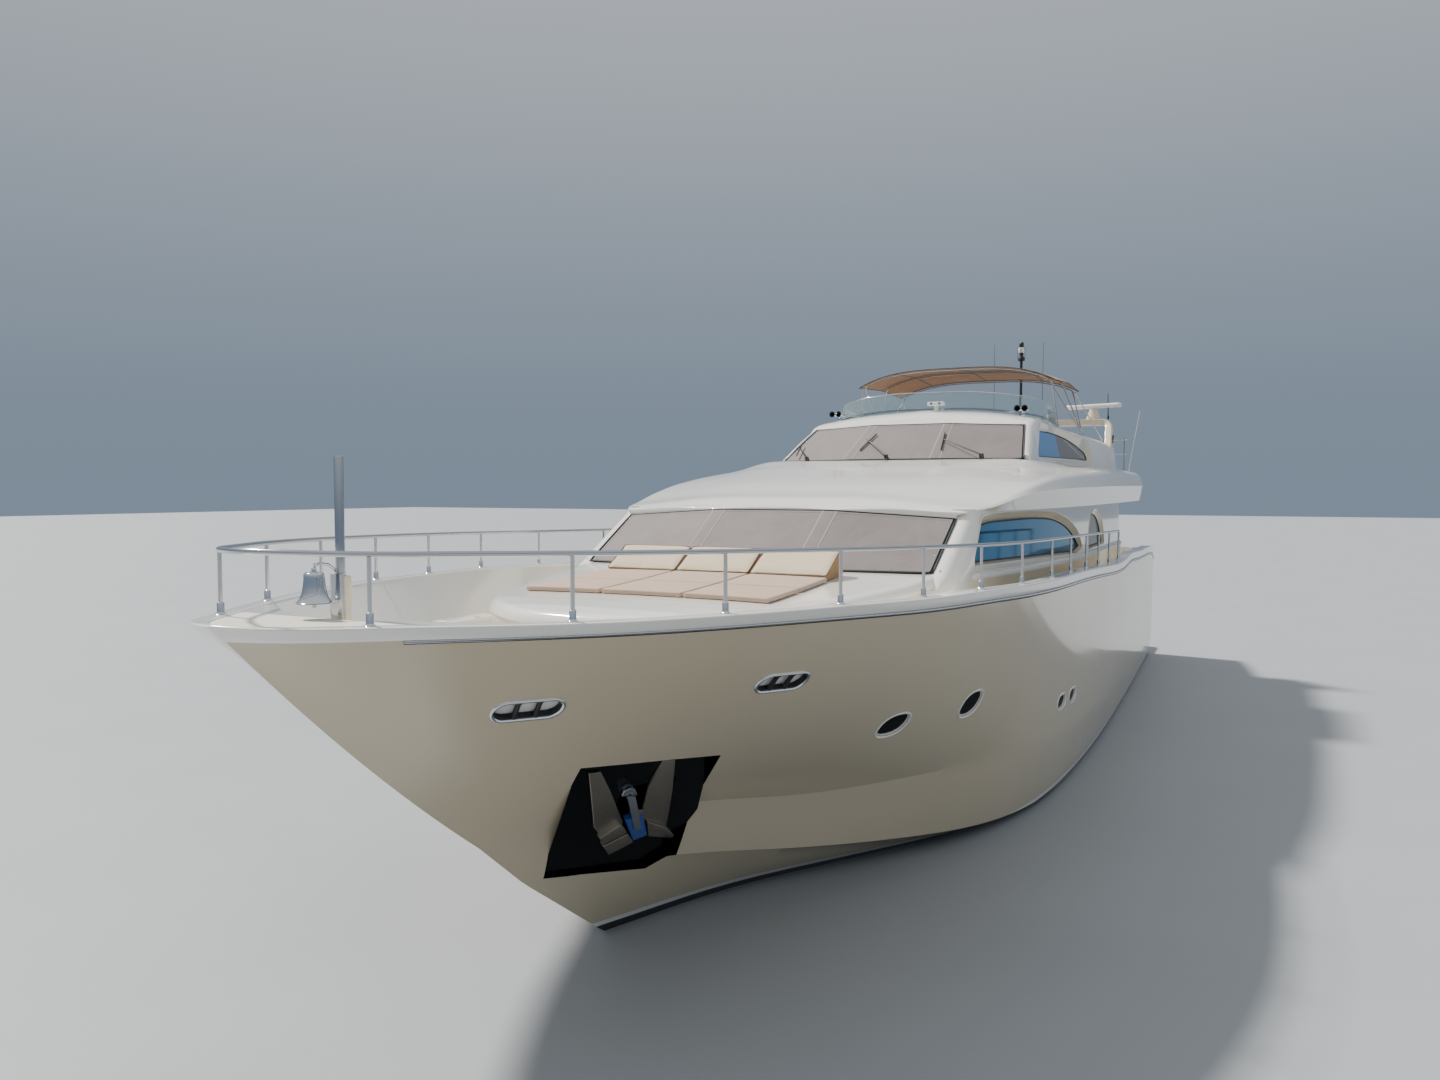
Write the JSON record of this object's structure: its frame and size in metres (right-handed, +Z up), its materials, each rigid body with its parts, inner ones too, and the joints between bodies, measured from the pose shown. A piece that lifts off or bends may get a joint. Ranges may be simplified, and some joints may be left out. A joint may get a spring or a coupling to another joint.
{
  "type": "motor yacht",
  "caption": "Raised-pilothouse motor yacht afloat: flared bow with rail, sunpad foredeck, arched side windows, covered windshields, flybridge with bimini and radar arch.",
  "frame": {"origin": "on the centreline at the waterplane, about amidships", "axes": "+X to the bow, +Y to port, +Z up"},
  "size_m": [24.53, 6.3042, 8.9704],
  "materials": {
    "hull_gelcoat": "glossy",
    "white_gelcoat": "glossy",
    "cream_gelcoat": "glossy",
    "steel": "polished",
    "bronze": "satin",
    "glass": "glossy",
    "clear": "glossy",
    "mesh": "matt",
    "tan_cloth": "matt",
    "beige_cloth": "matt",
    "canvas": "matt",
    "teak": "satin",
    "black_plastic": "satin"
  },
  "bodies": {
    "yacht": {"hull": "hull_gelcoat", "bulwark_port": "hull_gelcoat", "bulwark_starboard": "hull_gelcoat", "swim_platform": "teak", "pilothouse_sole": "teak", "flybridge_table": "teak", "flybridge_stair": "teak", "cockpit_table": "teak", "bow_rail": "steel", "jack_staff": "steel", "bow_bell": "steel", "anchor_plate_port": "steel", "anchor_plate_starboard": "steel", "anchor_port": "steel", "anchor_starboard": "steel", "bimini_frame": "steel", "horns_port": "steel", "horns_starboard": "steel", "boat_deck_rail": "steel", "radar_arch": "cream_gelcoat", "foredeck_trunk": "white_gelcoat", "main_house": "white_gelcoat", "upper_deck": "white_gelcoat", "pilothouse": "white_gelcoat", "saloon_bulkhead": "white_gelcoat", "flybridge_console": "white_gelcoat", "searchlight": "white_gelcoat", "sunpad": "tan_cloth", "backrest_port": "beige_cloth", "backrest_centre": "beige_cloth", "backrest_starboard": "beige_cloth", "pilothouse_helm": "beige_cloth", "flybridge_helm_seat": "beige_cloth", "flybridge_settee": "beige_cloth", "cockpit_settee": "beige_cloth", "main_window_port": "glass", "main_window_starboard": "glass", "aft_window_port": "glass", "aft_window_starboard": "glass", "lower_windshield": "glass", "upper_windshield": "glass", "pilothouse_window_port": "glass", "pilothouse_window_starboard": "glass", "lower_windshield_cover": "mesh", "upper_windshield_cover": "mesh", "wind_screen": "clear", "bimini_canopy": "canvas", "light_mast": "black_plastic", "shaft_strut_port": "bronze", "shaft_strut_starboard": "bronze"},
    "propeller_port": {"propeller_port": "bronze"},
    "rudder_port": {"rudder_port": "bronze"},
    "transom_gate_port": {"transom_gate_port": "white_gelcoat"},
    "locker_lid_port": {"locker_lid_port": "white_gelcoat"},
    "propeller_starboard": {"propeller_starboard": "bronze"},
    "rudder_starboard": {"rudder_starboard": "bronze"},
    "transom_gate_starboard": {"transom_gate_starboard": "white_gelcoat"},
    "locker_lid_starboard": {"locker_lid_starboard": "white_gelcoat"},
    "radar_scanner": {"radar_scanner": "white_gelcoat"},
    "saloon_door": {"saloon_door": "glass"}
  },
  "joints": [
    {"name": "propeller_port_spin", "type": "hinge", "parent": "yacht", "child": "propeller_port", "pos_m": [-9.35, 1.15, -1.28], "axis": [0.99, 0, 0.1413], "continuous": true},
    {"name": "propeller_starboard_spin", "type": "hinge", "parent": "yacht", "child": "propeller_starboard", "pos_m": [-9.35, -1.15, -1.28], "axis": [0.99, 0, 0.1413], "continuous": true},
    {"name": "rudder_port_turn", "type": "hinge", "parent": "yacht", "child": "rudder_port", "pos_m": [-10.15, 1.15, -0.6], "axis": [0, 0, 1], "range_deg": [-35, 35]},
    {"name": "rudder_starboard_turn", "type": "hinge", "parent": "yacht", "child": "rudder_starboard", "pos_m": [-10.15, -1.15, -0.6], "axis": [0, 0, 1], "range_deg": [-35, 35]},
    {"name": "radar_scanner_spin", "type": "hinge", "parent": "yacht", "child": "radar_scanner", "pos_m": [-8.64, 1.83, 5.75], "axis": [0, 0, 1], "continuous": true},
    {"name": "saloon_door_slide", "type": "slide", "parent": "yacht", "child": "saloon_door", "axis": [0, -1, 0], "range_m": [0, 0.98]},
    {"name": "transom_gate_port_swing", "type": "hinge", "parent": "yacht", "child": "transom_gate_port", "pos_m": [-9.926, 2.59, 2.3], "axis": [0, 0, 1], "range_deg": [0, 90]},
    {"name": "transom_gate_starboard_swing", "type": "hinge", "parent": "yacht", "child": "transom_gate_starboard", "pos_m": [-9.926, -2.59, 2.3], "axis": [0, 0, -1], "range_deg": [0, 90]},
    {"name": "locker_lid_port_lift", "type": "hinge", "parent": "yacht", "child": "locker_lid_port", "pos_m": [7.875, 1.998, 2.6403], "axis": [-1, 0, 0], "range_deg": [0, 85]},
    {"name": "locker_lid_starboard_lift", "type": "hinge", "parent": "yacht", "child": "locker_lid_starboard", "pos_m": [7.875, -1.998, 2.6403], "axis": [1, 0, 0], "range_deg": [0, 85]}
  ],
  "couplings": [
    {"joint": "rudder_starboard_turn", "follows": "rudder_port_turn", "ratio": 1}
  ]
}
